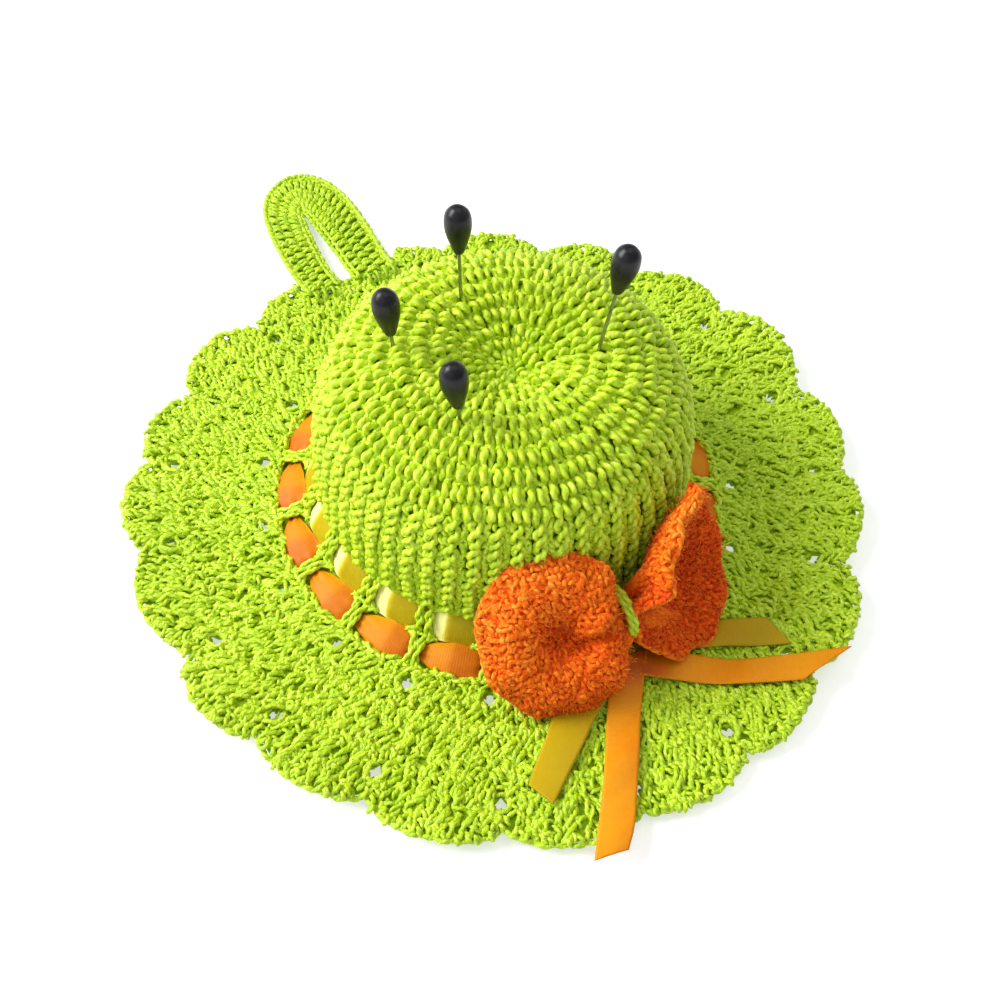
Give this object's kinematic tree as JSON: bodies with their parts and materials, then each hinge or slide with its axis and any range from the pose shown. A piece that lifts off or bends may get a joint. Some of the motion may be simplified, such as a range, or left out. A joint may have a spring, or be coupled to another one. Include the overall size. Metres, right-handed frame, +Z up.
{
  "type": "pin cushion",
  "caption": "Pin cushion shaped as a small crocheted sun hat: stuffed crown, scalloped brim, woven satin ribbons, crocheted bow, hanging loop and bead-headed pins.",
  "frame": {"origin": "centre of the crown on the plane the hat rests on", "axes": "+Z up through the crown, -Y towards the bow, +Y towards the hanging loop"},
  "size_m": [0.1308, 0.1586, 0.0601],
  "materials": {
    "yarn_green": "lime green mercerised cotton crochet with a soft sheen",
    "thread_green": "lime green sewing yarn",
    "yarn_orange": "fuzzy burnt-orange crochet yarn",
    "satin_orange": "orange satin ribbon",
    "satin_yellow": "golden yellow satin ribbon",
    "filling": "white fibre filling",
    "card": "plain card",
    "pin_steel": "polished steel wire",
    "pin_head": "glossy black"
  },
  "bodies": {
    "hat": {"crown_cover": "yarn_green", "stuffing": "filling", "base_cover": "yarn_green", "base_stiffener": "card", "base_seam_stitches": "yarn_green", "tuft_thread": "thread_green", "upper_eyelet_round": "yarn_green", "lower_eyelet_round": "yarn_green", "yellow_ribbon_band": "satin_yellow", "orange_ribbon_band": "satin_orange", "brim": "yarn_green", "loop_stitches": "yarn_green", "bow_lobe_left": "yarn_orange", "bow_lobe_right": "yarn_orange", "bow_wrap": "yarn_green", "bow_stitches": "thread_green", "yellow_ribbon_knot": "satin_yellow", "orange_ribbon_knot": "satin_orange"},
    "pin_1": {"pin_1_shaft": "pin_steel", "pin_1_head": "pin_head"},
    "pin_2": {"pin_2_shaft": "pin_steel", "pin_2_head": "pin_head"},
    "pin_3": {"pin_3_shaft": "pin_steel", "pin_3_head": "pin_head"},
    "pin_4": {"pin_4_shaft": "pin_steel", "pin_4_head": "pin_head"},
    "loop": {"hanging_loop": "yarn_green"},
    "yellow_left": {"yellow_tail_left": "satin_yellow"},
    "yellow_right": {"yellow_tail_right": "satin_yellow"},
    "orange_front": {"orange_tail_front": "satin_orange"},
    "orange_right": {"orange_tail_right": "satin_orange"}
  },
  "joints": [
    {"name": "pin_1_slide", "type": "slide", "parent": "hat", "child": "pin_1", "axis": [-0.045, 0.031, 0.9985], "range_m": [-0.0098, 0.0197]},
    {"name": "pin_2_slide", "type": "slide", "parent": "hat", "child": "pin_2", "axis": [0.095, -0.056, 0.9939], "range_m": [-0.012, 0.0175]},
    {"name": "pin_3_slide", "type": "slide", "parent": "hat", "child": "pin_3", "axis": [-0.0871, 0.0599, 0.9944], "range_m": [-0.0035, 0.0259]},
    {"name": "pin_4_slide", "type": "slide", "parent": "hat", "child": "pin_4", "axis": [-0.0938, 0.0645, 0.9935], "range_m": [-0.0028, 0.0266]},
    {"name": "loop_hinge", "type": "hinge", "parent": "hat", "child": "loop", "pos_m": [0.00533, 0.06097, 0.0014], "axis": [0.9962, -0.0872, 0], "range_deg": [0, 95]},
    {"name": "yellow_left_lift", "type": "hinge", "parent": "hat", "child": "yellow_left", "pos_m": [-0.0186, -0.047, 0.00311], "axis": [-0.436, 0.9, 0], "range_deg": [0, 70]},
    {"name": "yellow_right_lift", "type": "hinge", "parent": "hat", "child": "yellow_right", "pos_m": [0.0123, -0.0447, 0.00311], "axis": [-0.5, -0.866, 0], "range_deg": [0, 70]},
    {"name": "orange_front_lift", "type": "hinge", "parent": "hat", "child": "orange_front", "pos_m": [-0.0108, -0.0504, 0.00355], "axis": [-0.7379, 0.6749, 0], "range_deg": [0, 70]},
    {"name": "orange_right_lift", "type": "hinge", "parent": "hat", "child": "orange_right", "pos_m": [0.0069, -0.0487, 0.00355], "axis": [-0.5579, -0.8299, 0], "range_deg": [0, 70]}
  ]
}
